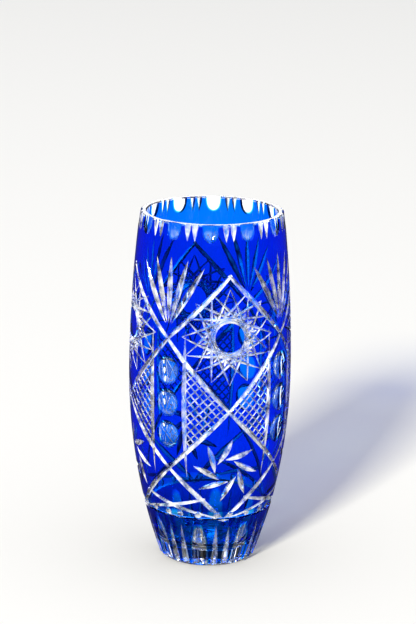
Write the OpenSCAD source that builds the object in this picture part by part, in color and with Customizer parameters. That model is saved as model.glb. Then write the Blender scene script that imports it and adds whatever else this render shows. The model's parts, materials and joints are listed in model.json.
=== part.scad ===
// Cut crystal vase: a clear crystal body cased in cobalt glass.  Wheel cuts go through the casing to
// the clear glass, so the casing is left as separate islands fused to the body.
// Millimetres, +Z up, origin at the middle of the base.  The first star faces -Y.

/* [Body] */
// Height of the vase
height = 250; // [240:1:270]
// Outer radius at the lip
rim_r = 50; // [46:0.5:54]
// Outer radius at the widest level
belly_r = 56.9; // [56:0.1:62]
// Level of the widest part
belly_z = 135; // [120:1:150]
// Outer radius that the outline reaches at the base
foot_r = 33.3; // [31:0.1:38]
// Width of the bevel round the base
foot_bevel = 2.5; // [1:0.1:4]
// Thickness of the whole wall, casing included
wall = 4.7; // [4.2:0.1:6]
// Thickness of the floor
floor_t = 12; // [9:0.5:18]
// Radius of the bowl inside, where the wall meets the floor
bowl_r = 14; // [6:0.5:20]
// Width of the bevels of the lip
lip_bevel = 0.8; // [0.4:0.1:1.2]

/* [Casing] */
// Thickness of the cobalt casing
casing_t = 0.8; // [0.6:0.05:1]
// Height of the clear lip above the casing
clear_lip = 1.4; // [1.2:0.1:3]

/* [Lattice] */
// Height of the plain shoulder above the stars
shoulder_h = 34.5; // [30:0.5:40]
// Height of the pinwheel band
pinwheel_h = 81.5; // [75:0.5:90]
// Height of the fluted foot
foot_h = 39; // [34:0.5:42]
// Place of the upper side crossings in the star band, as a share of its height
upper_share = 0.53; // [0.45:0.01:0.6]
// Place of the lower side crossings in the pinwheel band, as a share of its height
lower_share = 0.466; // [0.4:0.01:0.55]
// Width of a lattice line through the casing
line_w = 2.4; // [1.6:0.1:3.2]
// Depth of a lattice line half way along, from the outside
line_depth = 2; // [1.4:0.1:2.6]

/* [Stars] */
// Share of the room in its diamond that a star fills
star_fill = 0.92; // [0.7:0.01:0.95]
// Rise of a star's middle above the side crossings
star_lift = 2; // [0:0.5:4]
// Radius of the round button in a star
button_r = 10.2; // [8:0.1:12]
// Width of the clear ring round a button
button_ring = 2.4; // [1.6:0.1:3]
// Depth of the ring round a button
moat_depth = 2.6; // [2.2:0.1:3]
// Radius of the star's inner corners, past the clear ring
star_neck = 3; // [1:0.1:6]

/* [Columns] */
// Half the spacing of the two upright lines beside a column
column_half = 12.9; // [11.5:0.1:15]
// Radius of an olive
olive_r = 9.8; // [8:0.1:10.5]
// Depth of an olive
olive_depth = 2.4; // [1.8:0.1:2.8]
// Spacing of the olives up a column
olive_step = 23; // [21.5:0.5:26]

/* [Fans] */
// Length of a fan blade
blade_len = 47; // [38:1:50]
// Width of a fan blade
blade_w = 3.8; // [2.4:0.1:4.4]
// Angle between two blades
blade_angle = 14.4; // [12:0.1:15]
// Gap between a side crossing and the foot of a fan
blade_gap = 11; // [9:0.5:14]

/* [Pinwheels] */
// Length of a pinwheel leaf
leaf_len = 22; // [16:0.5:24]
// Width of a pinwheel leaf
leaf_w = 4; // [2.4:0.1:4.4]
// Radius of the circle that the leaves start from
leaf_root = 8.4; // [8:0.1:10]

/* [Rim cuts] */
// Height of the rim cuts
rim_cut_h = 12.4; // [9:0.1:15]
// Depth of the rim cuts at the lip
rim_cut_depth = 2; // [1.4:0.1:2.4]
// Width of a round rim cut at the lip
scallop_w = 12.9; // [10:0.1:13.5]
// Width of a pointed rim cut at the lip
vee_w = 4.8; // [3:0.1:5]

/* [Foot cuts] */
// Height of the plain band between the flutes and the ring cut
flute_gap = 3; // [2:0.5:8]
// Width of a wide flute at its lower end
flute_w = 13; // [10:0.1:13.5]
// Depth of a wide flute
flute_depth = 2; // [1.4:0.1:2.4]
// Width of a narrow flute at its lower end
narrow_w = 4.4; // [3:0.1:4.6]
// Depth of a narrow flute
narrow_depth = 1.6; // [1.2:0.1:2]
// Height of the ring cut above the foot
ring_h = 12; // [9:0.5:14]
// Depth of the ring cut
ring_depth = 2.4; // [1.8:0.1:2.8]

/* [Underside] */
// Radius of the hollow under the base
hollow_r = 24; // [18:0.5:25]
// Depth of the hollow
hollow_depth = 1; // [0.6:0.1:1.6]
// Depth of the rays cut in the hollow
ray_depth = 1.2; // [0.6:0.1:1.6]

/* [Hidden] */
sides = 4;
pitch = 360 / sides;
half = pitch / 2;
star_top = height - shoulder_h;
star_low = foot_h + pinwheel_h;
cross_up = star_low + upper_share * (star_top - star_low);
cross_low = foot_h + lower_share * pinwheel_h;
star_mid = cross_up + star_lift;
column_mid = (cross_up + cross_low) / 2 + 1;
upper_arc = (pow(height - belly_z, 2) + pow(belly_r - rim_r, 2)) / (2 * (belly_r - rim_r));
lower_arc = (pow(belly_z, 2) + pow(belly_r - foot_r, 2)) / (2 * (belly_r - foot_r));
casing_top = height - clear_lip;
casing_low = foot_bevel;
rings = 16;
ring_step = (casing_top - casing_low) / rings;
// Half the width of a star's diamond along the surface, and the star's radius, which its upper
// sides limit
diamond_half = 2 * PI * belly_r * half / 360;
star_r = star_fill * (star_top - star_mid) * sin(atan2(diamond_half, star_top - cross_up));
star_points = 16;
star_inner = button_r + button_ring + star_neck;
leaves = 8;
leaf_turn = 16;
blade_foot = 0.08;
// The skirt lines run on past a column, and rise over their whole length
skirt_past = 27;
skirt_rise = 16.5;
// Turns of the paired cuts from the line half way between their neighbours
vee_turn = 2.9;
narrow_turn = 6;
// Levels of the ring cut's lower edge and of its deepest line
ring_low = foot_h - 0.5;
ring_mid = foot_h + 1.5;
rays = 16;
ray_in = 2;
// How far a wheel stands clear of the surface
clear_of = 1.5;
cobalt = [0.02, 0.12, 0.75];
crystal = [0.86, 0.9, 0.95, 0.6];

// ---------- Surface ----------

// Outer radius at a level: two arcs that meet at the widest level
function outer_r(z) =
    let (dz = z - belly_z, arc = dz > 0 ? upper_arc : lower_arc)
    belly_r - arc + sqrt(arc * arc - dz * dz);

// Level of a ring of the outline, and the radius on the straight run between two rings.  Casing
// and body both use it, so that their faces meet exactly.
function ring_z(i) = casing_low + i * ring_step;
function facet_r(z) =
    let (i = floor((z - casing_low) / ring_step), part = (z - ring_z(i)) / ring_step)
    outer_r(ring_z(i)) * (1 - part) + outer_r(ring_z(i + 1)) * part;

// Levels from z0 to z1, with the rings between them
function levels(z0, z1) = concat(
    [z0],
    [for (i = [0:rings]) if (ring_z(i) > z0 + 0.01 && ring_z(i) < z1 - 0.01) ring_z(i)],
    [z1]
);

// Point at a longitude (0 faces -Y), a level and a depth under the surface
function spot(phi, z, depth = 0) =
    let (r = outer_r(z) - depth)
    [r * sin(phi), -r * cos(phi), z];

// Longitude of a point that lies u millimetres round from phi
function round_by(phi, z, u) = phi + u / outer_r(z) * 180 / PI;

function unit(v) = v / norm(v);

// Centre of the circle through three points, measured from the middle one
function arc_centre(a, m, b) =
    let (u = a - m, v = b - m, n = cross(u, v))
    cross((u * u) * v - (v * v) * u, n) / (2 * (n * n));

// ---------- Wheels ----------

// Moves a shape into the frame of three axes and an origin
module in_frame(x, y, z, o) {
    multmatrix([
        [x[0], y[0], z[0], o[0]],
        [x[1], y[1], z[1], o[1]],
        [x[2], y[2], z[2], o[2]],
        [0, 0, 0, 1]
    ]) children();
}

// The rim of a V-edged wheel, whose edge passes through a, m and b.  It opens towards out.
module vee_arc(a, m, b, out, h) {
    c = arc_centre(a, m, b);
    radius = norm(c);
    x = -c / radius;
    z = unit(cross(a - m, b - m));
    open = x * out > 0 ? h : -h;
    half_span = acos(x * unit(a - m - c));
    in_frame(x, cross(z, x), z, m + c)
        rotate([0, 0, -half_span])
            rotate_extrude(angle = 2 * half_span, $fn = max(48, ceil(2 * PI * radius / 4)))
                polygon([[radius, 0], [radius + open, h], [radius + open, -h]]);
}

// A trough along a line on the surface, pointed at both ends and stopped short of the crossings.
// A line is [phi, z, phi, z] for its two ends.
module trough(line, depth) {
    stop = 0.05;
    a = [line[0] * (1 - stop) + line[2] * stop, line[1] * (1 - stop) + line[3] * stop];
    b = [line[2] * (1 - stop) + line[0] * stop, line[3] * (1 - stop) + line[1] * stop];
    m = spot((a[0] + b[0]) / 2, (a[1] + b[1]) / 2, depth);
    vee_arc(spot(a[0], a[1], casing_t / 2), m, spot(b[0], b[1], casing_t / 2), [m[0], m[1], 0], depth + clear_of);
}

// Places a cutter along a straight run in the wall: its edge leaves the surface at z_end and lies
// at the given depth at z_open.  The cutter lies along +Z with the open air on its +X side.
module run(phi, z_end, z_open, depth) {
    a = spot(phi, z_end);
    b = spot(phi, z_open, depth);
    z = unit(b - a);
    out = [sin(phi), -cos(phi), 0];
    x = unit(out - (out * z) * z);
    in_frame(x, cross(z, x), z, a)
        translate([0, 0, -1]) children();
}

// A round flute, wide and deep at its open end
module flute(phi, z_end, z_open, depth, width) {
    radius = 1 / (8 * depth / (width * width) - 1 / outer_r(z_open));
    run(phi, z_end, z_open, depth)
        translate([radius, 0, 0]) cylinder(h = abs(z_open - z_end) + 12, r = radius, $fn = 96);
}

// A pointed flute, a straight V
module vee(phi, z_end, z_open, depth, width) {
    h = depth + 2 * clear_of;
    run(phi, z_end, z_open, depth)
        linear_extrude(abs(z_open - z_end) + 12)
            polygon([[0, 0], [h, h * width / (2 * depth)], [h, -h * width / (2 * depth)]]);
}

// Half space on the side of a line that holds the point keep, a gap away from the line
module beside(line, keep, gap) {
    m = spot((line[0] + line[2]) / 2, (line[1] + line[3]) / 2, line_depth);
    a = spot(line[0], line[1], casing_t);
    b = spot(line[2], line[3], casing_t);
    n = unit(cross(a - m, b - m));
    z = n * (keep - m) > 0 ? n : -n;
    y = unit(cross(z, [m[0], m[1], 0]));
    in_frame(cross(y, z), y, z, m + z * gap)
        translate([-belly_r, -2 * belly_r, 0])
            cube([2 * belly_r, 4 * belly_r, 2 * height]);
}

// Straight slot through the casing at longitude phi, over an outline of [phi, z] points
module slot(phi, outline) {
    rotate([0, 0, phi])
        rotate([90, 0, 0])
            linear_extrude(belly_r + clear_of)
                polygon([for (p = outline) let (s = spot(p[0] - phi, p[1])) [s[0], s[2]]]);
}

// Pointed leaf from one place to another, [u, v] millimetres from the middle [phi, z]
function leaf(phi, z, from, to, width) =
    let (along = to - from, across = [-along[1], along[0]] / norm(along) * width / 2)
    [for (k = [[0, 0], [0.25, 0.75], [0.55, 1], [0.8, 0.6], [1, 0], [0.8, -0.6], [0.55, -1], [0.25, -0.75]])
        let (p = from + along * k[0] + across * k[1])
        [round_by(phi, z + p[1], p[0]), z + p[1]]];

// ---------- Lines of the pattern, from the star at longitude s to a column on its side ----------

function shoulder_line(s, side) = [s, star_top, s + side * half, cross_up];
function waist_line(s, side) = [s, star_low, s + side * half, cross_up];
function knee_line(s, side) = [s, star_low, s + side * half, cross_low];
function foot_line(s, side) = [s, foot_h, s + side * half, cross_low];
function skirt_line(s, side) = [s, foot_h, s + side * (half + skirt_past), foot_h + skirt_rise];

// Longitude of the upright line beside a column at a level, and the line between two levels
function upright_phi(side, z) = half + side * asin(column_half / outer_r(z));
function upright_line(side) =
    let (low = cross_low + (star_low - cross_low) * 0.3, top = cross_up - (cross_up - star_low) * 0.3)
    [upright_phi(side, low), low, upright_phi(side, top), top];

module troughs() {
    for (side = [-1, 1]) {
        trough(shoulder_line(0, side), line_depth);
        trough(waist_line(0, side), line_depth);
        trough(knee_line(0, side), line_depth);
        trough(foot_line(0, side), line_depth);
        trough(upright_line(side), line_depth);
    }
}

// Space between a column's two upright planes
module column_strip() {
    rotate([0, 0, half])
        translate([-column_half + line_w / 2, -2 * belly_r, 0])
            cube([2 * column_half - line_w, 2 * belly_r, height]);
}

// Space outside one of them, on the side of the sign
module beside_column(side) {
    rotate([0, 0, half])
        translate([side > 0 ? column_half + line_w / 2 : -column_half - line_w / 2 - belly_r, -2 * belly_r, 0])
            cube([belly_r, 2 * belly_r, height]);
}

// Round olives up a column, each the edge of a ball-shaped wheel
module olives() {
    ball = (olive_r * olive_r + olive_depth * olive_depth) / (2 * olive_depth);
    for (i = [-1:1])
        translate(spot(half, column_mid + i * olive_step, olive_depth - ball))
            sphere(ball, $fn = 96);
}

// Fan of blades above a side crossing
module fan() {
    base = cross_up + blade_gap;
    for (i = [-2:2]) {
        tip = blade_len * [sin(i * blade_angle), cos(i * blade_angle)];
        slot(half, leaf(half, base, tip * blade_foot, tip, blade_w));
    }
}

// Whirl of pointed leaves
module pinwheel() {
    for (i = [0:leaves - 1]) {
        turn = leaf_turn + i * 360 / leaves;
        root = leaf_root * [cos(turn), sin(turn)];
        slot(0, leaf(0, cross_low, root, root + leaf_len * [sin(turn), -cos(turn)], leaf_w));
    }
}

// Opening in the casing in the shape of a star
module star_opening() {
    slot(0, [for (i = [0:2 * star_points - 1])
        let (r = i % 2 == 0 ? star_r : star_inner, t = i * 180 / star_points)
        [round_by(0, star_mid + r * cos(t), r * sin(t)), star_mid + r * cos(t)]]);
}

// Straight plug into the wall at a star's middle
module star_plug(radius, depth) {
    translate([0, -outer_r(star_mid) + depth, star_mid])
        rotate([90, 0, 0]) cylinder(h = depth + clear_of, r = radius, $fn = 96);
}

module button_moat() {
    difference() {
        star_plug(button_r + button_ring, moat_depth);
        star_plug(button_r, moat_depth + 1);
    }
}

// Round and pointed cuts at the lip, over one star's quarter
module rim_cuts() {
    for (i = [0:2]) {
        phi = (i + 0.5) * pitch / 3;
        flute(phi, height - rim_cut_h, height, rim_cut_depth, scallop_w);
        for (k = [-1, 1])
            vee(phi + pitch / 6 + k * vee_turn, height - rim_cut_h, height, rim_cut_depth, vee_w);
    }
}

// Wide flutes of the foot, and the pairs of narrow ones between them, all round
module wide_flutes() {
    for (i = [0:2 * sides - 1])
        flute((i + 0.5) * half, foot_h - flute_gap, 0, flute_depth, flute_w);
}

module narrow_flutes() {
    for (i = [0:2 * sides - 1])
        for (k = [-1, 1])
            vee(i * half + k * narrow_turn, foot_h - flute_gap, 0, narrow_depth, narrow_w);
}

// Ring cut between the lower panels and the foot
module ring_cut() {
    top = foot_h + ring_h;
    rotate_extrude($fn = 180)
        polygon([[outer_r(ring_low), ring_low], [outer_r(ring_mid) - ring_depth, ring_mid], [outer_r(top), top],
            [belly_r + clear_of, top], [belly_r + clear_of, ring_low]]);
}

module underside_cuts() {
    translate([0, 0, -1])
        cylinder(h = 1 + hollow_depth, r1 = hollow_r + 1.5, r2 = hollow_r, $fn = 96);
    for (i = [0:rays - 1])
        rotate([0, 0, i * 360 / rays])
            vee_arc([ray_in, 0, hollow_depth], [(ray_in + hollow_r) / 2, 0, hollow_depth + ray_depth],
                [hollow_r - 1, 0, hollow_depth], [0, 0, -1], ray_depth + 1);
}

// ---------- Blanks ----------

// Casing between two levels and two longitudes
module casing(z0, z1, phi0, phi1) {
    zs = levels(z0, z1);
    n = len(zs) - 1;
    rotate([0, 0, phi0 - 90])
        rotate_extrude(angle = phi1 - phi0, $fn = 180)
            polygon(concat(
                [for (z = zs) [facet_r(z), z]],
                [for (i = [n:-1:0]) [facet_r(zs[i]) - casing_t, zs[i]]]
            ));
}

module body_blank() {
    bowl_top = floor_t + bowl_r;
    bowl_mid = outer_r(bowl_top) - wall - bowl_r;
    edge = height - lip_bevel;
    inside = levels(bowl_top, edge);
    n = len(inside) - 1;
    rotate_extrude($fn = 180)
        polygon(concat(
            [[0, 0], [outer_r(0) - foot_bevel, 0], [facet_r(casing_low), casing_low]],
            [for (z = levels(casing_low, casing_top)) [facet_r(z) - casing_t, z]],
            [[facet_r(casing_top), casing_top], [outer_r(edge), edge], [outer_r(height) - lip_bevel, height],
                [outer_r(height) - wall + lip_bevel, height]],
            [for (i = [n:-1:0]) [outer_r(inside[i]) - wall, inside[i]]],
            [for (t = [15:15:90]) [bowl_mid + bowl_r * cos(t), bowl_top - bowl_r * sin(t)]],
            [[0, floor_t]]
        ));
}

// ---------- Sub-parts ----------

module crystal_body() {
    color(crystal)
        difference() {
            body_blank();
            for (q = [0:sides - 1])
                rotate([0, 0, q * pitch]) {
                    troughs();
                    olives();
                    button_moat();
                    rim_cuts();
                }
            wide_flutes();
            narrow_flutes();
            ring_cut();
            underside_cuts();
        }
}

// Cobalt above the stars, up to the lip
module shoulder_casing() {
    keep = spot(0, star_low);
    color(cobalt)
        difference() {
            casing(cross_up + line_w / 2, casing_top, 0, 360);
            for (q = [0:sides - 1])
                rotate([0, 0, q * pitch]) {
                    intersection() {
                        beside(shoulder_line(0, 1), keep, -line_w / 2);
                        beside(shoulder_line(0, -1), keep, -line_w / 2);
                    }
                    fan();
                    rim_cuts();
                }
        }
}

// Cobalt round the foot
module foot_casing() {
    color(cobalt)
        difference() {
            difference() {
                casing(casing_low, ring_low, 0, 360);
                wide_flutes();
            }
            narrow_flutes();
        }
}

// Diamond with the star-shaped opening
module star_panel(q) {
    keep = spot(0, star_mid);
    color(cobalt)
        rotate([0, 0, q * pitch])
            difference() {
                intersection() {
                    casing(star_low, star_top, -half, half);
                    beside(shoulder_line(0, 1), keep, line_w / 2);
                    beside(shoulder_line(0, -1), keep, line_w / 2);
                    beside(waist_line(0, 1), keep, line_w / 2);
                    beside(waist_line(0, -1), keep, line_w / 2);
                }
                star_opening();
            }
}

// Round button in the middle of a star
module star_button(q) {
    color(cobalt)
        rotate([0, 0, q * pitch])
            intersection() {
                casing(star_mid - button_r - 1, star_mid + button_r + 1, -half / 2, half / 2);
                star_plug(button_r, 12);
            }
}

// Strip with the olives, between the upright lines
module olive_column(q) {
    keep = spot(half, column_mid);
    color(cobalt)
        rotate([0, 0, q * pitch])
            difference() {
                intersection() {
                    casing(cross_low, cross_up, half / 2, half * 1.5);
                    beside(waist_line(0, 1), keep, line_w / 2);
                    beside(waist_line(pitch, -1), keep, line_w / 2);
                    beside(knee_line(0, 1), keep, line_w / 2);
                    beside(knee_line(pitch, -1), keep, line_w / 2);
                    column_strip();
                }
                olives();
            }
}

// Triangle on one side of a column, between it and the star at s
module hatch_field(q, s, side) {
    keep = spot(s + side * half / 2, star_low);
    color(cobalt)
        rotate([0, 0, q * pitch])
            intersection() {
                casing(cross_low, cross_up, min(s, half), max(s, half));
                beside(waist_line(s, side), keep, line_w / 2);
                beside(knee_line(s, side), keep, line_w / 2);
                beside_column(-side);
            }
}

// Diamond with the pinwheel
module pinwheel_panel(q) {
    keep = spot(0, cross_low);
    color(cobalt)
        rotate([0, 0, q * pitch])
            difference() {
                intersection() {
                    casing(foot_h, star_low, -half, half);
                    beside(knee_line(0, 1), keep, line_w / 2);
                    beside(knee_line(0, -1), keep, line_w / 2);
                    beside(foot_line(0, 1), keep, line_w / 2);
                    beside(foot_line(0, -1), keep, line_w / 2);
                }
                pinwheel();
                ring_cut();
            }
}

// Kite below a column
module lower_kite(q) {
    keep = spot(half, (cross_low + foot_h + skirt_rise) / 2);
    color(cobalt)
        rotate([0, 0, q * pitch])
            difference() {
                intersection() {
                    casing(foot_h, cross_low, 0, pitch);
                    beside(foot_line(0, 1), keep, line_w / 2);
                    beside(foot_line(pitch, -1), keep, line_w / 2);
                    beside(skirt_line(0, 1), keep, line_w / 2);
                    beside(skirt_line(pitch, -1), keep, line_w / 2);
                }
                ring_cut();
            }
}

// Small triangle beside a kite, at the foot of the star at s
module corner(q, s, side) {
    keep = spot(s + side * half * 0.45, foot_h + skirt_rise * 0.52);
    color(cobalt)
        rotate([0, 0, q * pitch])
            difference() {
                intersection() {
                    casing(foot_h, cross_low, min(s, half), max(s, half));
                    beside(foot_line(s, side), keep, line_w / 2);
                    beside(skirt_line(s, side), keep, line_w / 2);
                    beside(skirt_line(s + side * pitch, -side), keep, line_w / 2);
                }
                ring_cut();
            }
}

crystal_body();
shoulder_casing();
foot_casing();
star_panel(0);  // star_panel_1
star_panel(1);  // star_panel_2
star_panel(2);  // star_panel_3
star_panel(3);  // star_panel_4
star_button(0);  // star_button_1
star_button(1);  // star_button_2
star_button(2);  // star_button_3
star_button(3);  // star_button_4
olive_column(0);  // olive_column_1
olive_column(1);  // olive_column_2
olive_column(2);  // olive_column_3
olive_column(3);  // olive_column_4
hatch_field(0, 0, 1);  // hatch_left_1
hatch_field(1, 0, 1);  // hatch_left_2
hatch_field(2, 0, 1);  // hatch_left_3
hatch_field(3, 0, 1);  // hatch_left_4
hatch_field(0, pitch, -1);  // hatch_right_1
hatch_field(1, pitch, -1);  // hatch_right_2
hatch_field(2, pitch, -1);  // hatch_right_3
hatch_field(3, pitch, -1);  // hatch_right_4
pinwheel_panel(0);  // pinwheel_panel_1
pinwheel_panel(1);  // pinwheel_panel_2
pinwheel_panel(2);  // pinwheel_panel_3
pinwheel_panel(3);  // pinwheel_panel_4
lower_kite(0);  // lower_kite_1
lower_kite(1);  // lower_kite_2
lower_kite(2);  // lower_kite_3
lower_kite(3);  // lower_kite_4
corner(0, 0, 1);  // corner_left_1
corner(1, 0, 1);  // corner_left_2
corner(2, 0, 1);  // corner_left_3
corner(3, 0, 1);  // corner_left_4
corner(0, pitch, -1);  // corner_right_1
corner(1, pitch, -1);  // corner_right_2
corner(2, pitch, -1);  // corner_right_3
corner(3, pitch, -1);  // corner_right_4
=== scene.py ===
import json
import math

import bpy
import numpy as np
from mathutils import Matrix, Vector

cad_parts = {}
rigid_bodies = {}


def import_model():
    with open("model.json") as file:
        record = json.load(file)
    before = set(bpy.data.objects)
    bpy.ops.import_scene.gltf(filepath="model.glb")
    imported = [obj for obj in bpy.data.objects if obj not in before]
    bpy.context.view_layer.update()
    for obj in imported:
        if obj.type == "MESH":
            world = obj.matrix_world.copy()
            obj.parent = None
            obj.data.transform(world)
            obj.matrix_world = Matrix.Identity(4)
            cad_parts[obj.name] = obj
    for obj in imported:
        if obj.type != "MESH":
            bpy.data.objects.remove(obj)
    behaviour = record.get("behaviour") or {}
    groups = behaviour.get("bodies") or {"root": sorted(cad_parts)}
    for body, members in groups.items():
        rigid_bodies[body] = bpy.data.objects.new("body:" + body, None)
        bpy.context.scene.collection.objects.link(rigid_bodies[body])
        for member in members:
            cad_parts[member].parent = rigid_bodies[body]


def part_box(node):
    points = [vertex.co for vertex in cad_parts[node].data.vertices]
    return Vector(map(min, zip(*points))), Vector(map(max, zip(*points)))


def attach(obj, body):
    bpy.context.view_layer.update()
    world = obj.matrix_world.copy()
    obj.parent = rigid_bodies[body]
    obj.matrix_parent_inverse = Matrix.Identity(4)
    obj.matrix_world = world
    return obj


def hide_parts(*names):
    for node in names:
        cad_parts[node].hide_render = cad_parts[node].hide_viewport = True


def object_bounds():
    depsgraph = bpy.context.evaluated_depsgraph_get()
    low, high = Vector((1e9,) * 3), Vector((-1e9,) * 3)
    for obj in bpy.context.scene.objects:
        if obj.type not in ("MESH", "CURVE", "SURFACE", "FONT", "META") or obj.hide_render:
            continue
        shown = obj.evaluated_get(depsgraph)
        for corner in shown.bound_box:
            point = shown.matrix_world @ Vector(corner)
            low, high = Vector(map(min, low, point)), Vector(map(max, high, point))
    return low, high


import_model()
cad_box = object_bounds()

# A cut crystal vase: a clear body cased in cobalt glass, with every wheel cut made in the mesh.
# Metres, +Z up, origin at the middle of the base.  The first star faces -Y.

# ---------- Sizes ----------

HEIGHT = cad_box[1][2]
BELLY_R = (cad_box[1][0] - cad_box[0][0]) / 2
BELLY_Z = 0.135
RIM_R = 0.050
FOOT_R = 0.0333
FOOT_BEVEL = 0.0025
WALL = 0.0047
FLOOR_T = 0.012
BOWL_R = 0.014
LIP_BEVEL = 0.0008
HOLLOW_R = 0.024
HOLLOW_DEPTH = 0.001
HOLLOW_RIM = 0.0008

CASING_T = 0.0008
CASING_TOP = HEIGHT - 0.0014
CASING_LOW = FOOT_BEVEL
FUSED_GAP = 0.00002     # keeps the meshes of body and casing apart

SIDES = 4
PITCH = 360 / SIDES
HALF = PITCH / 2
STAR_TOP = HEIGHT - 0.0345
FOOT_H = 0.039
STAR_LOW = FOOT_H + 0.0815
CROSS_UP = STAR_LOW + 0.53 * (STAR_TOP - STAR_LOW)
CROSS_LOW = FOOT_H + 0.466 * (STAR_LOW - FOOT_H)
STAR_MID = sum(corner[2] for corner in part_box("star_button_1")) / 2
COLUMN_MID = (CROSS_UP + CROSS_LOW) / 2 + 0.001
UPPER_ARC = ((HEIGHT - BELLY_Z) ** 2 + (BELLY_R - RIM_R) ** 2) / (2 * (BELLY_R - RIM_R))
LOWER_ARC = (BELLY_Z ** 2 + (BELLY_R - FOOT_R) ** 2) / (2 * (BELLY_R - FOOT_R))

COLUMN_HALF = 0.0129
UPRIGHT_PAST = 0.010
OLIVES = 3
OLIVE_R = 0.0104
OLIVE_DEPTH = 0.0026
OLIVE_STEP = 0.023
BUTTON_R = 0.0102
MOAT_R = 0.0115
MOAT_DEPTH = 0.0018
STAR_R = 0.0335
STAR_POINTS = 16
STAR_STEP = 6
SPOKE_FROM = 0.0125
SPOKE_TO = 0.0205
FAN_BLADES = 5
BLADE_ANGLE = 14.4
BLADE_LEN = 0.052
BLADE_GAP = 0.006
BLADE_ROOT = 0.05 * BLADE_LEN
LEAVES = 8
LEAF_TURN = 16
LEAF_ROOT = 0.0084
LEAF_LEN = 0.023
HATCH_RISE = 0.0063
SKIRT_PAST = 27
SKIRT_RISE = 0.0165
RIM_CUTS = 3
RIM_CUT_H = 0.0124
RIM_DEPTH = 0.002
SCALLOP_WIDTH = 0.0129
POINT_WIDTH = 0.0048
POINT_TURN = 2.9
FLUTE_TOP = FOOT_H - 0.003
FLUTE_DEPTH = 0.002
FLUTE_WIDTH = 0.013
NARROW_DEPTH = 0.0016
NARROW_WIDTH = 0.0044
NARROW_TURN = 6
RING_LOW = FOOT_H - 0.0005
RING_MID = FOOT_H + 0.0002
RING_CLEAR = FOOT_H + 0.0014
RING_TOP = FOOT_H + 0.0060
RING_DEPTH = 0.0016
RAYS = 16

# Depths of each V cut at its ends and at its deepest; an end below 0 fades out at the surface.
MITRE = (0.0010, 0.0019)
SKIRT = (0.0009, 0.0015)
UPRIGHT = (-0.0003, 0.0021)
CHORD = (0.0003, 0.0018)
SPOKE = (0.0004, 0.0015)
HATCH = (0.00095, 0.00115)
BLADE = (-0.0003, 0.0022)
LEAF = (-0.0003, 0.0021)
DASH = (0.0009, 0.0021)
RAY = (0.0, 0.0012)

CLEAR = 0.0015          # how far a cutter stands out of the glass
TURNS = 240             # faces round the blanks
LEVELS = 110            # faces up the blanks
CUT, FUSED, BLANK, CLEAN = 0, 1, 2, 3     # kinds of face

# ---------- Surface ----------


def outer_r(z):
    """Outer radius at a level: two arcs that meet at the widest level."""
    z = np.asarray(z, float)
    arc = np.where(z > BELLY_Z, UPPER_ARC, LOWER_ARC)
    return BELLY_R - arc + np.sqrt(arc ** 2 - (z - BELLY_Z) ** 2)


def radial(phi):
    """Outward direction at longitudes in degrees, 0 facing -Y."""
    phi = np.radians(np.asarray(phi, float))
    return np.stack([np.sin(phi), -np.cos(phi), np.zeros_like(phi)], -1)


def surface(phi, z):
    """Points of the outer surface, and their normals."""
    phi, z = np.broadcast_arrays(np.asarray(phi, float), np.asarray(z, float))
    arc = np.where(z > BELLY_Z, UPPER_ARC, LOWER_ARC)
    out = radial(phi)
    points = out * outer_r(z)[..., None]
    points[..., 2] = z
    rise = (z - BELLY_Z) / arc
    normals = out * np.sqrt(1 - rise ** 2)[..., None]
    normals[..., 2] = rise
    return points, normals


def beside(phi, z, u, v):
    """Longitudes and levels of places u round and v up from a middle."""
    level = z + np.asarray(v, float)
    return phi + np.degrees(np.asarray(u, float) / outer_r(level)), level


# ---------- Meshes ----------


def make_mesh(name, points, faces, kinds=None):
    """Object from points and faces, turned so that its faces look out."""
    points = np.asarray(points, float)
    mesh = bpy.data.meshes.new(name)
    mesh.from_pydata(points.tolist(), [], faces)
    mesh.calc_loop_triangles()
    corners = np.empty(len(mesh.loop_triangles) * 3, np.int32)
    mesh.loop_triangles.foreach_get("vertices", corners)
    a, b, c = (points[corners[k::3]] for k in range(3))
    if np.einsum("ij,ij->", a, np.cross(b, c)) < 0:
        mesh.flip_normals()
    if kinds is not None:
        mesh.polygons.foreach_set("material_index", np.asarray(kinds, np.int32))
    return bpy.data.objects.new(name, mesh)


def lathe(name, outline, kinds, closed, turns=TURNS):
    """Revolves an outline of (radius, level) points; kinds holds one kind of face for each run."""
    spin = radial(np.arange(turns) * 360 / turns)
    points, rows = [], []
    for r, z in outline:
        ring = [[0, 0, z]] if r == 0 else (spin * r + [0, 0, z]).tolist()
        rows.append(np.arange(len(ring)) + len(points))
        points += ring
    faces, face_kinds = [], []
    for i, kind in enumerate(kinds):
        low, high = rows[i], rows[(i + 1) % len(rows)]
        for k in range(turns):
            m = (k + 1) % turns
            corners = [low[k % len(low)], low[m % len(low)], high[m % len(high)], high[k % len(high)]]
            faces.append([int(c) for c in dict.fromkeys(corners)])
            face_kinds.append(kind)
    return make_mesh(name, points, faces, face_kinds)


def sweep(name, sections, closed=False, kind=CUT):
    """Joins equal closed sections into one solid, with caps at the ends unless it closes."""
    sections = np.asarray(sections)
    count, size = sections.shape[:2]
    runs = count if closed else count - 1
    faces = []
    for i in range(runs):
        for k in range(size):
            m, n = (k + 1) % size, (i + 1) % count
            faces.append([i * size + k, i * size + m, n * size + m, n * size + k])
    if not closed:
        faces += [list(reversed(range(size))), [(count - 1) * size + k for k in range(size)]]
    return make_mesh(name, sections.reshape(-1, 3), faces, [kind] * len(faces))


# ---------- Cutters ----------


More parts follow.
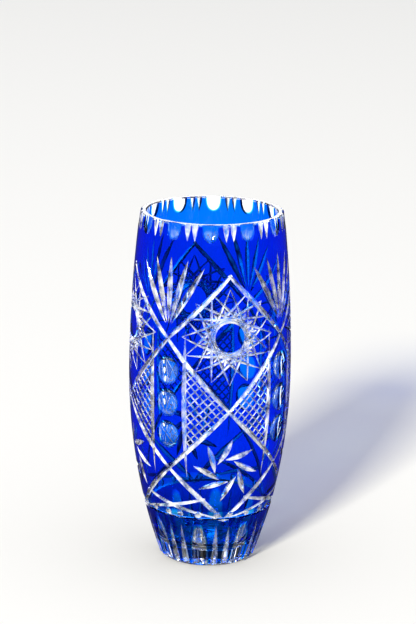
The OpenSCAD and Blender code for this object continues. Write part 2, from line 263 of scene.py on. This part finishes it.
def groove(points, normals, depths, slope, lean=0.0, closed=False):
    """V cut of the given depths along points, whose half width is the slope times its depth."""
    ahead = np.roll(points, -1, 0) - np.roll(points, 1, 0)
    if not closed:
        ahead[0], ahead[-1] = points[1] - points[0], points[-1] - points[-2]
    across = np.cross(normals, ahead)
    across /= np.linalg.norm(across, axis=1)[:, None]
    reach = ((np.asarray(depths) + CLEAR) * slope)[:, None]
    top = points + normals * CLEAR
    bottom = points - normals * np.asarray(depths)[:, None]
    left, right = top - across * reach * (1 + lean), top + across * reach * (1 - lean)
    return sweep("groove", np.stack([bottom, right, left], 1), closed)


def dip(count, end, middle, peak=0.5):
    """Depths along a cut, from end to middle and back, deepest at the share peak."""
    t = np.linspace(0, 1, count)
    t = np.where(t < peak, t / peak, (1 - t) / (1 - peak))
    return end + (middle - end) * t * (2 - t)


def line_cut(line, end, middle, slope, lean=0.0, past=0.0, steps=26):
    """Groove on the surface between the two ends of line, (phi, z, phi, z), run past both."""
    t = np.linspace(-past, 1 + past, steps)
    phi = line[0] + (line[2] - line[0]) * t
    z = line[1] + (line[3] - line[1]) * t
    points, normals = surface(phi, z)
    return groove(points, normals, dip(steps, end, middle), slope, lean)


def flat_cut(phi, z, start, stop, end, middle, slope, lean=0.0, peak=0.5, steps=22):
    """Groove between two places given as (round, up) from the middle (phi, z)."""
    t = np.linspace(0, 1, steps)[:, None]
    places = np.asarray(start) * (1 - t) + np.asarray(stop) * t
    points, normals = surface(*beside(phi, z, places[:, 0], places[:, 1]))
    return groove(points, normals, dip(steps, end, middle, peak), slope, lean)


def run_cut(phi, z_end, z_open, depth, outline, sharpness, kind=CUT):
    """Cut that starts at the surface at z_end, deepens quickly and runs on past z_open.

    The outline holds (out, round) points; the sharpness is the power of the depth's easing."""
    t = np.linspace(0, 1, 14)
    depths = depth * (1 - (1 - t) ** sharpness) - 0.0002 * (1 - t)
    z = z_end + (z_open - z_end) * t
    points, normals = surface(phi, z)
    points = points - normals * depths[:, None]
    along = points[-1] - points[-2]
    points = np.vstack([points, points[-1] + along * 6 * CLEAR / np.linalg.norm(along)])
    normals = np.vstack([normals, normals[-1]])
    side = np.cross(normals[0], along)
    side /= np.linalg.norm(side)
    sections = [[p + n * x + side * y for x, y in outline] for p, n in zip(points, normals)]
    return sweep("run", sections, kind=kind)


def round_outline(z_open, depth, width, steps=72):
    """Circle that is the given width across where it leaves the surface."""
    r = 1 / (8 * depth / width ** 2 - 1 / float(outer_r(z_open)))
    return [(r - r * math.cos(2 * math.pi * k / steps), r * math.sin(2 * math.pi * k / steps))
            for k in range(steps)]


def vee_outline(depth, width):
    high = depth + 3 * CLEAR
    return [(0, 0), (high, high * width / (2 * depth)), (high, -high * width / (2 * depth))]


# ---------- The pattern ----------


def lattice_cuts(s):
    """Long mitres between the star at s and the columns on its sides, and the skirt lines."""
    runs = [(STAR_TOP, CROSS_UP), (STAR_LOW, CROSS_UP), (STAR_LOW, CROSS_LOW), (FOOT_H, CROSS_LOW)]
    cuts = []
    for side in (-1, 1):
        column = s + side * HALF
        for middle, end in runs:
            line = (s, middle, column, end)
            cuts.append(line_cut(line, *MITRE, 1.0, lean=0.3 * side, past=0.02))
        skirt = (s, FOOT_H, column + side * SKIRT_PAST, FOOT_H + SKIRT_RISE)
        cuts.append(line_cut(skirt, *SKIRT, 1.0, lean=0.6 * side, past=0.02))
    return cuts


def upright_cuts(column):
    """Upright lines on both sides of a column."""
    low, high = CROSS_LOW - UPRIGHT_PAST, CROSS_UP + UPRIGHT_PAST
    cuts = []
    for side in (-1, 1):
        z = np.linspace(low, high, 30)
        phi = column + side * np.degrees(np.arcsin(COLUMN_HALF / outer_r(z)))
        points, normals = surface(phi, z)
        cuts.append(groove(points, normals, dip(len(z), *UPRIGHT), 0.9))
    return cuts


def star_cuts(s):
    """Chords of a star polygon, spokes between its points, and the ring round its button."""
    cuts = []
    angles = 2 * np.pi * np.arange(STAR_POINTS) / STAR_POINTS
    tips = STAR_R * np.stack([np.sin(angles), np.cos(angles)], 1)
    for i in range(STAR_POINTS):
        cuts.append(flat_cut(s, STAR_MID, tips[i], tips[(i + STAR_STEP) % STAR_POINTS], *CHORD, 0.68))
        between = (tips[i] + tips[(i + 1) % STAR_POINTS]) / 2 / STAR_R
        cuts.append(flat_cut(s, STAR_MID, between * SPOKE_FROM, between * SPOKE_TO, *SPOKE, 0.8))
    turn = 2 * np.pi * np.arange(72) / 72
    ring = surface(*beside(s, STAR_MID, MOAT_R * np.sin(turn), MOAT_R * np.cos(turn)))
    cuts.append(groove(*ring, np.full(len(turn), MOAT_DEPTH), 0.72, closed=True))
    return cuts


def hatch_cuts(s, side):
    """Crossed fine lines in the triangle between the star at s and the upright line beside it."""
    edge = HALF - math.degrees(math.asin(COLUMN_HALF / BELLY_R))
    rise, fall = (CROSS_UP - STAR_LOW) / HALF, (STAR_LOW - CROSS_LOW) / HALF
    cuts = []
    for k in range(1, int(edge * (rise + fall) / HATCH_RISE) + 1):
        near = k * HATCH_RISE / (rise + fall)
        for slope, shift in ((rise, -k), (-fall, k)):
            z = [STAR_LOW + slope * t + shift * HATCH_RISE for t in (near, edge)]
            line = (s + side * near, z[0], s + side * edge, z[1])
            cuts.append(line_cut(line, *HATCH, 0.52, steps=10))
    return cuts


def fan_cuts(column):
    """Blades that spread upward from the crossing over a column."""
    cuts = []
    for i in range(FAN_BLADES):
        turn = math.radians((i - (FAN_BLADES - 1) / 2) * BLADE_ANGLE)
        way = np.array([math.sin(turn), math.cos(turn)])
        root, tip = way * BLADE_ROOT, way * BLADE_LEN
        cuts.append(flat_cut(column, CROSS_UP + BLADE_GAP, root, tip, *BLADE, 1.0))
    return cuts


def pinwheel_cuts(s):
    """Leaves that turn round the lower crossing under a star."""
    cuts = []
    for i in range(LEAVES):
        turn = math.radians(LEAF_TURN + i * 360 / LEAVES)
        root = LEAF_ROOT * np.array([math.cos(turn), math.sin(turn)])
        tip = root + LEAF_LEN * np.array([math.sin(turn), -math.cos(turn)])
        cuts.append(flat_cut(s, CROSS_LOW, root, tip, *LEAF, 1.0, lean=0.35))
    return cuts


def olive_cuts(column):
    """Shallow round hollows up a column, each the edge of a ball-shaped wheel."""
    ball = (OLIVE_R ** 2 + OLIVE_DEPTH ** 2) / (2 * OLIVE_DEPTH)
    angles = np.radians(np.linspace(0, 42, 15))
    outline = [(ball * math.sin(a), ball - ball * math.cos(a)) for a in angles]
    outline.append((0, outline[-1][1]))
    cuts = []
    for i in range(OLIVES):
        point, normal = surface(column, COLUMN_MID + (i - (OLIVES - 1) / 2) * OLIVE_STEP)
        cut = lathe("olive", outline, [CLEAN] * (len(outline) - 1), False, 72)
        turn = Vector((0, 0, 1)).rotation_difference(Vector(normal)).to_matrix().to_4x4()
        cut.data.transform(Matrix.Translation(Vector(point - normal * OLIVE_DEPTH)) @ turn)
        cuts.append(cut)
    return cuts


def rim_cuts(s):
    """Round and pointed cuts at the lip."""
    low, step = HEIGHT - RIM_CUT_H, PITCH / RIM_CUTS
    scallop = round_outline(HEIGHT, RIM_DEPTH, SCALLOP_WIDTH)
    point = vee_outline(RIM_DEPTH, POINT_WIDTH)
    cuts = []
    for i in range(RIM_CUTS):
        phi = s + (i + 0.5) * step
        cuts.append(run_cut(phi, low, HEIGHT, RIM_DEPTH, scallop, 3, CLEAN))
        for k in (-1, 1):
            cuts.append(run_cut(phi + step / 2 + k * POINT_TURN, low, HEIGHT, RIM_DEPTH, point, 1.6))
    return cuts


def foot_cuts(s):
    """Wide flutes with pairs of narrow ones between them, and a short dash above each."""
    wide = round_outline(0, FLUTE_DEPTH, FLUTE_WIDTH)
    narrow = vee_outline(NARROW_DEPTH, NARROW_WIDTH)
    cuts = []
    for i in range(2):
        flutes = [(s + (i + 0.5) * HALF, wide, 5, CLEAN)]
        flutes += [(s + i * HALF + k * NARROW_TURN, narrow, 1.8, CUT) for k in (-1, 1)]
        for phi, outline, sharpness, kind in flutes:
            cuts.append(run_cut(phi, FLUTE_TOP, 0, FLUTE_DEPTH, outline, sharpness, kind))
            cuts.append(line_cut((phi, RING_MID, phi, RING_TOP), *DASH, 1.5, steps=10))
    return cuts


def ring_cut():
    """Ring above the foot: a narrow clear line with a thinned band of cobalt over it."""
    far = BELLY_R + 2 * CLEAR
    outline = [(float(outer_r(RING_LOW)), RING_LOW), (float(outer_r(RING_MID)) - RING_DEPTH, RING_MID),
               (float(outer_r(RING_CLEAR)) - 0.7 * CASING_T, RING_CLEAR),
               (float(outer_r(RING_TOP)) - 0.3 * CASING_T, RING_TOP), (far, RING_TOP), (far, RING_LOW)]
    return lathe("ring", outline, [CLEAN] * len(outline), True)


def ray_cuts():
    """Star of rays in the hollow under the base."""
    cuts = []
    for i in range(RAYS):
        reach = np.linspace(0.002, HOLLOW_R - 0.001, 12)[:, None]
        points = radial(i * 360 / RAYS) * reach + [0, 0, HOLLOW_DEPTH]
        normals = np.tile([0.0, 0.0, -1.0], (len(points), 1))
        cuts.append(groove(points, normals, dip(len(points), *RAY), 1.0))
    return cuts


def all_cuts():
    cuts = [ring_cut()] + ray_cuts()
    for q in range(SIDES):
        s = q * PITCH
        column = s + HALF
        cuts += lattice_cuts(s) + upright_cuts(column) + star_cuts(s) + fan_cuts(column)
        cuts += hatch_cuts(s, 1) + hatch_cuts(s, -1) + pinwheel_cuts(s) + olive_cuts(column)
        cuts += rim_cuts(s) + foot_cuts(s)
    return cuts


# ---------- Blanks ----------


def body_blank():
    """The clear body: base, fused outside, lip and bowl."""
    levels = np.linspace(CASING_LOW, CASING_TOP, LEVELS)
    bowl_top = FLOOR_T + BOWL_R
    bowl_mid = float(outer_r(bowl_top)) - WALL - BOWL_R
    inside = np.linspace(HEIGHT - LIP_BEVEL, bowl_top, 70)
    outline = [(0, HOLLOW_DEPTH), (HOLLOW_R, HOLLOW_DEPTH), (HOLLOW_R + HOLLOW_RIM, 0),
               (float(outer_r(0)) - FOOT_BEVEL, 0), (float(outer_r(CASING_LOW)), CASING_LOW - FUSED_GAP)]
    kinds = [BLANK] * 4
    fused = [(float(outer_r(z)) - CASING_T - FUSED_GAP, z) for z in levels]
    fused[0] = (fused[0][0], CASING_LOW - FUSED_GAP)
    fused[-1] = (fused[-1][0], CASING_TOP + FUSED_GAP)
    outline += fused
    kinds += [FUSED] * LEVELS
    edge = HEIGHT - LIP_BEVEL
    outline += [(float(outer_r(CASING_TOP)), CASING_TOP + FUSED_GAP), (float(outer_r(edge)), edge),
                (float(outer_r(HEIGHT)) - LIP_BEVEL, HEIGHT),
                (float(outer_r(HEIGHT)) - WALL + LIP_BEVEL, HEIGHT)]
    kinds += [FUSED] + [BLANK] * 3
    outline += [(float(outer_r(z)) - WALL, z) for z in inside]
    turn = np.radians(np.linspace(7.5, 90, 12))
    outline += [(bowl_mid + BOWL_R * math.cos(t), bowl_top - BOWL_R * math.sin(t)) for t in turn]
    outline.append((0, FLOOR_T))
    kinds += [BLANK] * (len(outline) - 1 - len(kinds))
    return lathe("body", outline, kinds, False)


def casing_blank():
    """The cobalt casing, before it is cut into islands."""
    levels = np.linspace(CASING_LOW, CASING_TOP, LEVELS)
    outline = [(float(outer_r(z)), z) for z in levels]
    outline += [(float(outer_r(z)) - CASING_T, z) for z in levels[::-1]]
    kinds = [BLANK] * (LEVELS - 1) + [FUSED] * (LEVELS + 1)
    return lathe("casing", outline, kinds, True)


def carve(blank, cutters):
    """Takes the cutters out of a blank."""
    bpy.context.scene.collection.objects.link(blank)
    cut = blank.modifiers.new("cut", "BOOLEAN")
    cut.operation, cut.solver = "DIFFERENCE", "MANIFOLD"
    cut.operand_type, cut.collection = "COLLECTION", cutters
    cut.material_mode = "INDEX"
    carved = bpy.data.meshes.new_from_object(blank.evaluated_get(bpy.context.evaluated_depsgraph_get()))
    bpy.data.objects.remove(blank)
    return carved


# ---------- Pieces ----------


def arrays_of(mesh):
    """Points, corners, first corners of the faces and kinds of a mesh."""
    points = np.empty(len(mesh.vertices) * 3, np.float32)
    mesh.vertices.foreach_get("co", points)
    corners = np.empty(len(mesh.loops), np.int32)
    mesh.loops.foreach_get("vertex_index", corners)
    starts = np.empty(len(mesh.polygons), np.int32)
    mesh.polygons.foreach_get("loop_start", starts)
    kinds = np.empty(len(mesh.polygons), np.int32)
    mesh.polygons.foreach_get("material_index", kinds)
    return points.reshape(-1, 3), corners, starts, kinds


def islands(count, corners, starts):
    """A number for each point, equal for points of one solid."""
    sizes = np.diff(np.append(starts, len(corners)))
    first = np.repeat(corners[starts], sizes)
    label = np.arange(count)
    while True:
        low = np.minimum(label[first], label[corners])
        new = label.copy()
        np.minimum.at(new, first, low)
        np.minimum.at(new, corners, low)
        new = new[new]
        if (new == label).all():
            return label
        label = new


def node_at(point):
    """Name of the casing's node that holds a point."""
    phi = math.degrees(math.atan2(point[0], -point[1])) % 360
    z = float(point[2])
    star = int(phi / PITCH + 0.5) % SIDES
    column = int(phi / PITCH) % SIDES
    off = (phi + HALF) % PITCH - HALF
    part = abs(off) / HALF
    if z < RING_LOW:
        return "foot_casing"
    if z > STAR_TOP + (CROSS_UP - STAR_TOP) * part:
        return "shoulder_casing"
    if z > STAR_LOW + (CROSS_UP - STAR_LOW) * part:
        away = math.hypot(math.radians(off) * float(outer_r(z)), z - STAR_MID)
        return f"star_button_{star + 1}" if away < BUTTON_R / 2 else f"star_panel_{star + 1}"
    if z > STAR_LOW + (CROSS_LOW - STAR_LOW) * part:
        if math.radians(HALF - abs(off)) * float(outer_r(z)) < COLUMN_HALF:
            return f"olive_column_{column + 1}"
        return f"hatch_{'left' if off > 0 else 'right'}_{column + 1}"
    if z > FOOT_H + (CROSS_LOW - FOOT_H) * part:
        return f"pinwheel_panel_{star + 1}"
    across = FOOT_H + SKIRT_RISE * (PITCH - abs(off)) / (HALF + SKIRT_PAST)
    if z > across or part > 0.7:
        return f"lower_kite_{column + 1}"
    return f"corner_{'left' if off > 0 else 'right'}_{column + 1}"


def dress(name, points, corners, starts, kinds, material):
    """Object with smooth cuts, crisp edges and the true normals of the outer surface."""
    used, corners = np.unique(corners, return_inverse=True)
    points = points[used]
    sizes = np.diff(np.append(starts, len(corners)))
    mesh = bpy.data.meshes.new(name)
    mesh.vertices.add(len(points))
    mesh.vertices.foreach_set("co", points.ravel())
    mesh.loops.add(len(corners))
    mesh.loops.foreach_set("vertex_index", corners.astype(np.int32))
    mesh.polygons.add(len(starts))
    mesh.polygons.foreach_set("loop_start", starts.astype(np.int32))
    mesh.update(calc_edges=True)
    for mark, kind in (("fused", FUSED), ("brilliant", CUT)):
        layer = mesh.attributes.new(mark, "FLOAT", "FACE")
        layer.data.foreach_set("value", (kinds == kind).astype(np.float32))
    mesh.shade_smooth()
    mesh.set_sharp_from_angle(angle=math.radians(24))
    mark_borders(mesh, np.repeat(kinds, sizes))
    normals = np.empty(len(corners) * 3, np.float32)
    mesh.corner_normals.foreach_get("vector", normals)
    normals = normals.reshape(-1, 3)
    outside = np.repeat(kinds == BLANK, sizes) if name != "vase_body" else np.zeros(len(corners), bool)
    at = points[corners[outside]]
    phi = np.degrees(np.arctan2(at[:, 0], -at[:, 1]))
    normals[outside] = surface(phi, at[:, 2])[1]
    mesh.normals_split_custom_set(normals)
    mesh.materials.append(material)
    return bpy.data.objects.new(name, mesh)


def mark_borders(mesh, kind_of_corner):
    """Makes the edges between two kinds of face sharp."""
    edge = np.empty(len(mesh.loops), np.int32)
    mesh.loops.foreach_get("edge_index", edge)
    low, high = np.full(len(mesh.edges), 9), np.full(len(mesh.edges), -1)
    np.minimum.at(low, edge, kind_of_corner)
    np.maximum.at(high, edge, kind_of_corner)
    layer = mesh.attributes.get("sharp_edge") or mesh.attributes.new("sharp_edge", "BOOLEAN", "EDGE")
    sharp = np.empty(len(mesh.edges), bool)
    layer.data.foreach_get("value", sharp)
    layer.data.foreach_set("value", sharp | (low != high))


def place(piece, cad_node):
    """Puts a piece in the scene in place of a CAD node."""
    bpy.context.scene.collection.objects.link(piece)
    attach(piece, "root")
    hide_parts(cad_node)


def split_casing(mesh, material):
    """One piece for each casing node, from the islands that lie in it."""
    points, corners, starts, kinds = arrays_of(mesh)
    sizes = np.diff(np.append(starts, len(corners)))
    label = islands(len(points), corners, starts)
    names = {}
    for number in np.unique(label[corners]):
        names[number] = node_at(points[label == number].mean(0))
    node_of_face = np.array([names[n] for n in label[corners[starts]]])
    for cad_node in sorted(set(names.values())):
        chosen = node_of_face == cad_node
        mine = np.repeat(chosen, sizes)
        first = np.concatenate([[0], np.cumsum(sizes[chosen])[:-1]])
        piece = dress("cut_" + cad_node, points, corners[mine], first, kinds[chosen], material)
        place(piece, cad_node)


# ---------- Materials ----------

BUMP_HEIGHT = 0.0002
POLISH = 0.03               # roughness where the waves are highest
SPARKLE = (0.12, 0.82)      # least and greatest share of bloom on a V cut
# Less bloom on faces turned down and more on faces turned up: painted shade below, painted light from
# above.
BLOOM_KEPT_IN_PAINTED_SHADE = 0.3         # what is left of it on faces turned down
PAINTED_LIGHT_TILT_SPAN = (-0.25, 0.25)
PATCH_SCALE = 160
PATCH_SPAN = (0.35, 0.65)
BLOOM_THROUGH = 0.15
# Dim glow that stands for the floor in reflections: painted dark reflection.
FLOOR_PAINTED_REFLECTION = 0.08
# Strength of the floor's glow where it is seen through glass: painted light.
FLOOR_GLOW_THROUGH_GLASS = 1.6
FLOOR_REACH = 3.0
# The glow is low at the base and far off: painted shadow at the base, painted dark far off.
FLOOR_GLOW_AND_SHADOW_STOPS = [(0.0, 0.12), (0.02, 0.2), (0.08, 1.0), (0.7, 1.0), (0.85, 0.05), (1.0, 0.02)]


def node(tree, kind, **values):
    """Shader node with its plain settings and the default values of its sockets."""
    made = tree.nodes.new(kind)
    for name, value in values.items():
        if name in made.inputs:
            made.inputs[name].default_value = value
        else:
            setattr(made, name, value)
    return made


def ramp_node(tree, stops):
    """Grey colour ramp through (place, value) stops."""
    made = node(tree, "ShaderNodeValToRGB")
    elements = made.color_ramp.elements
    while len(elements) < len(stops):
        elements.new(0.5)
    for element, (at, value) in zip(elements, stops):
        element.position = at
        element.color = (value, value, value, 1)
    return made


def map_node(tree, value, span, result):
    """Maps a span of values to a span of results."""
    made = node(tree, "ShaderNodeMapRange")
    made.inputs["From Min"].default_value, made.inputs["From Max"].default_value = span
    made.inputs["To Min"].default_value, made.inputs["To Max"].default_value = result
    tree.links.new(value, made.inputs["Value"])
    return made.outputs["Result"]


def product(tree, first, second):
    made = node(tree, "ShaderNodeMath", operation="MULTIPLY")
    tree.links.new(first, made.inputs[0])
    tree.links.new(second, made.inputs[1])
    return made.outputs[0]


def mixed(tree, share, first, second):
    """Mix of two shaders; the share is a number or an output."""
    made = node(tree, "ShaderNodeMixShader")
    if isinstance(share, (int, float)):
        made.inputs[0].default_value = share
    else:
        tree.links.new(share, made.inputs[0])
    tree.links.new(first, made.inputs[1])
    tree.links.new(second, made.inputs[2])
    return made.outputs[0]


def polished_skin(tree, places, ripple_scale, ripple, gleam):
    """Clear glass with faint waves left by polishing."""
    link = tree.links.new
    waves = node(tree, "ShaderNodeTexNoise", Scale=ripple_scale, Detail=3)
    link(places, waves.inputs["Vector"])
    bump = node(tree, "ShaderNodeBump", Strength=ripple, Distance=BUMP_HEIGHT)
    link(waves.outputs["Fac"], bump.inputs["Height"])
    skin = node(tree, "ShaderNodeBsdfPrincipled")
    skin.inputs["Base Color"].default_value = (1, 1, 1, 1)
    skin.inputs["Transmission Weight"].default_value = 1
    skin.inputs["IOR"].default_value = 1.54
    skin.inputs["Specular Tint"].default_value = gleam
    link(map_node(tree, waves.outputs["Fac"], (0, 1), (0, POLISH)), skin.inputs["Roughness"])
    link(bump.outputs["Normal"], skin.inputs["Normal"])
    return skin.outputs[0]


def bloom(tree):
    """White scatter of a face that the wheel left less than clear."""
    frost = node(tree, "ShaderNodeBsdfDiffuse", Color=(1, 1, 1, 1))
    glow = node(tree, "ShaderNodeBsdfTranslucent", Color=(1, 1, 1, 1))
    return mixed(tree, BLOOM_THROUGH, frost.outputs[0], glow.outputs[0])


def bloom_share(tree, places):
    """Patchy share of bloom, on the V cuts only and more on faces that are turned up: painted light from
    above, with painted shade on faces turned down.
    """
    patches = node(tree, "ShaderNodeTexNoise", Scale=PATCH_SCALE)
    tree.links.new(places, patches.inputs["Vector"])
    face = node(tree, "ShaderNodeNewGeometry")
    tilt = node(tree, "ShaderNodeSeparateXYZ")
    tree.links.new(face.outputs["Normal"], tilt.inputs[0])
    patchy = map_node(tree, patches.outputs["Fac"], PATCH_SPAN, SPARKLE)
    # More bloom on faces turned up: painted light from above, painted shade on faces turned down.
    painted_top_light = map_node(tree, tilt.outputs["Z"], PAINTED_LIGHT_TILT_SPAN, (BLOOM_KEPT_IN_PAINTED_SHADE, 1))
    cut = node(tree, "ShaderNodeAttribute", attribute_name="brilliant")
    return product(tree, product(tree, patchy, painted_top_light), cut.outputs["Fac"])


def glass(name, ripple_scale, ripple, shade, gleam, absorb=None):
    """Polished glass.  Faces marked fused let light straight through, as there is no air there."""
    mat = bpy.data.materials.new(name)
    mat.use_nodes = True
    tree = mat.node_tree
    tree.nodes.clear()
    link = tree.links.new
    places = node(tree, "ShaderNodeTexCoord").outputs["Object"]
    skin = polished_skin(tree, places, ripple_scale, ripple, gleam)
    facet = mixed(tree, bloom_share(tree, places), skin, bloom(tree))
    path = node(tree, "ShaderNodeLightPath")
    lamp = node(tree, "ShaderNodeBsdfTransparent", Color=shade)
    lit = mixed(tree, path.outputs["Is Shadow Ray"], facet, lamp.outputs[0])
    mark = node(tree, "ShaderNodeAttribute", attribute_name="fused")
    through = node(tree, "ShaderNodeBsdfTransparent")
    out = node(tree, "ShaderNodeOutputMaterial")
    link(mixed(tree, mark.outputs["Fac"], lit, through.outputs[0]), out.inputs["Surface"])
    if absorb:
        volume = node(tree, "ShaderNodeVolumeAbsorption")
        volume.inputs["Color"].default_value = absorb[0]
        volume.inputs["Density"].default_value = absorb[1]
        link(volume.outputs[0], out.inputs["Volume"])
    return mat


def floor_material():
    """Pale paper that glows where it is seen through glass, painted light; the glow fades to a painted
    shadow at the base and to painted dark far off, and the paper seen in reflections is a dim glow, a
    painted dark reflection.
    """
    mat = bpy.data.materials.new("pale_floor")
    mat.use_nodes = True
    tree = mat.node_tree
    link = tree.links.new
    skin = tree.nodes["Principled BSDF"]
    skin.inputs["Base Color"].default_value = (0.87, 0.86, 0.845, 1)
    skin.inputs["Roughness"].default_value = 0.6
    skin.inputs["Specular IOR Level"].default_value = 0
    places = node(tree, "ShaderNodeTexCoord")
    away = node(tree, "ShaderNodeVectorMath", operation="LENGTH")
    link(places.outputs["Object"], away.inputs[0])
    # Painted shadow at the base and painted dark far off, in the floor's glow.
    fade = ramp_node(tree, FLOOR_GLOW_AND_SHADOW_STOPS)
    link(map_node(tree, away.outputs["Value"], (0, FLOOR_REACH), (0, 1)), fade.inputs[0])
    backlight = node(tree, "ShaderNodeEmission", Strength=FLOOR_GLOW_THROUGH_GLASS)
    link(fade.outputs["Color"], backlight.inputs["Color"])
    # The floor seen in reflections is a dim glow: painted dark reflection.
    painted_dark_reflection = node(tree, "ShaderNodeEmission", Strength=FLOOR_PAINTED_REFLECTION)
    path = node(tree, "ShaderNodeLightPath")
    mirrored = mixed(tree, path.outputs["Is Glossy Ray"], skin.outputs[0], painted_dark_reflection.outputs[0])
    through = mixed(tree, path.outputs["Is Transmission Ray"], mirrored, backlight.outputs[0])
    link(through, tree.nodes["Material Output"].inputs["Surface"])
    return mat


# ---------- Studio ----------

VIEW_TURN = -14
VIEW_DISTANCE = 1.711
VIEW_HEIGHT = 0.620
AIM_HEIGHT = 0.1769
AIM_LEFT = 0.0019
VIEW_ROLL = 0.85
LENS = 145.56
FLOOR_HALF = 12
KEY = {"turn": -21, "rise": 27, "distance": 20, "size": 3.2, "power": 5000}
FILL = 0.64
TENT = 6.5
DOME_STOPS = [(0.0, 0.08), (0.02, 0.01), (0.1, 0.01), (0.2, 0.5), (0.6, 0.45), (0.72, 1.0), (1.0, 1.0)]
FLAGS = 4
FLAG_TURN = 30
FLAG_STOPS = [(0.0, 0.1), (0.2, 0.1), (0.38, 1.0), (1.0, 1.0)]


def add_camera():
    data = bpy.data.cameras.new("camera")
    data.lens, data.sensor_width = LENS, 36
    data.clip_start, data.clip_end = 0.1, 60
    camera = bpy.data.objects.new("camera", data)
    out = Vector(radial(VIEW_TURN))
    camera.location = out * VIEW_DISTANCE + Vector((0, 0, VIEW_HEIGHT))
    right = Vector((0, 0, 1)).cross(out).normalized()
    aim = Vector((0, 0, AIM_HEIGHT)) - right * AIM_LEFT
    turn = (aim - camera.location).to_track_quat("-Z", "Y")
    roll = Matrix.Rotation(math.radians(VIEW_ROLL), 4, "Z")
    camera.matrix_world = Matrix.Translation(camera.location) @ turn.to_matrix().to_4x4() @ roll
    bpy.context.scene.collection.objects.link(camera)
    bpy.context.scene.camera = camera


def add_floor():
    half = FLOOR_HALF
    corners = [(-half, -half, 0), (half, -half, 0), (half, half, 0), (-half, half, 0)]
    mesh = bpy.data.meshes.new("floor")
    mesh.from_pydata(corners, [], [(0, 1, 2, 3)])
    mesh.materials.append(floor_material())
    floor = bpy.data.objects.new("floor", mesh)
    bpy.context.scene.collection.objects.link(floor)


def add_lamp(name, turn, rise, distance, size, power, colour):
    """Soft box that faces the vase, turned from the camera's side."""
    data = bpy.data.lights.new(name, "AREA")
    data.shape, data.size, data.energy, data.color = "SQUARE", size, power, colour
    lamp = bpy.data.objects.new(name, data)
    way = Vector(radial(VIEW_TURN + turn)) * math.cos(math.radians(rise))
    way.z = math.sin(math.radians(rise))
    middle = Vector((0, 0, HEIGHT / 2))
    lamp.location = middle + way * distance
    lamp.rotation_euler = (-way).to_track_quat("-Z", "Y").to_euler()
    bpy.context.scene.collection.objects.link(lamp)


def add_world():
    """Light tent.  Glass sees it bright above, with a dark horizon and dark flags; the rest gets a fill."""
    world = bpy.data.worlds.new("studio")
    bpy.context.scene.world = world
    world.use_nodes = True
    tree = world.node_tree
    tree.nodes.clear()
    link = tree.links.new
    way = node(tree, "ShaderNodeTexCoord")
    split = node(tree, "ShaderNodeSeparateXYZ")
    link(way.outputs["Generated"], split.inputs[0])
    dome = ramp_node(tree, DOME_STOPS)
    link(split.outputs["Z"], dome.inputs[0])
    turned = node(tree, "ShaderNodeMath", operation="ARCTAN2")
    link(split.outputs["X"], turned.inputs[0])
    link(split.outputs["Y"], turned.inputs[1])
    wave = node(tree, "ShaderNodeMath", operation="MULTIPLY_ADD")
    wave.inputs[1].default_value = FLAGS
    wave.inputs[2].default_value = math.radians(FLAG_TURN)
    link(turned.outputs[0], wave.inputs[0])
    swing = node(tree, "ShaderNodeMath", operation="COSINE")
    link(wave.outputs[0], swing.inputs[0])
    flags = ramp_node(tree, FLAG_STOPS)
    link(map_node(tree, swing.outputs[0], (-1, 1), (0, 1)), flags.inputs[0])
    both = node(tree, "ShaderNodeMix", data_type="RGBA", blend_type="MULTIPLY")
    both.inputs["Factor"].default_value = 1
    link(dome.outputs["Color"], both.inputs["A"])
    link(flags.outputs["Color"], both.inputs["B"])
    path = node(tree, "ShaderNodeLightPath")
    fill = node(tree, "ShaderNodeBackground", Color=(0.95, 0.97, 1.0, 1), Strength=FILL)
    tent = node(tree, "ShaderNodeBackground", Strength=TENT)
    link(both.outputs["Result"], tent.inputs["Color"])
    out = node(tree, "ShaderNodeOutputWorld")
    seen = mixed(tree, path.outputs["Is Glossy Ray"], fill.outputs[0], tent.outputs[0])
    link(seen, out.inputs["Surface"])


def set_up_light_paths():
    scene = bpy.context.scene
    scene.view_settings.view_transform = "Standard"
    scene.view_settings.gamma = 0.85
    scene.cycles.max_bounces = 28
    scene.cycles.transmission_bounces = 28
    scene.cycles.glossy_bounces = 16
    scene.cycles.transparent_max_bounces = 48
    scene.cycles.caustics_refractive = False
    scene.cycles.caustics_reflective = False


# ---------- Making ----------

add_camera()
add_floor()
add_world()
add_lamp("key", **KEY, colour=(1.0, 0.99, 0.96))
set_up_light_paths()

wheels = bpy.data.collections.new("wheels")
for number, cutter in enumerate(all_cuts()):
    cutter.name = f"wheel_{number}"
    wheels.objects.link(cutter)

crystal = glass("crystal", 160, 0.12, (0.8, 0.8, 0.8, 1), (1, 1, 1, 1))
cobalt = glass("cobalt", 120, 0.15, (0.8, 0.8, 0.85, 1), (0.12, 0.35, 1.0, 1),
               ((0.0, 0.765, 0.968, 1), 9500))

body_mesh = carve(body_blank(), wheels)
casing_mesh = carve(casing_blank(), wheels)
for cutter in list(wheels.objects):
    bpy.data.objects.remove(cutter)
bpy.data.collections.remove(wheels)

body = dress("vase_body", *arrays_of(body_mesh), crystal)
place(body, "crystal_body")
split_casing(casing_mesh, cobalt)
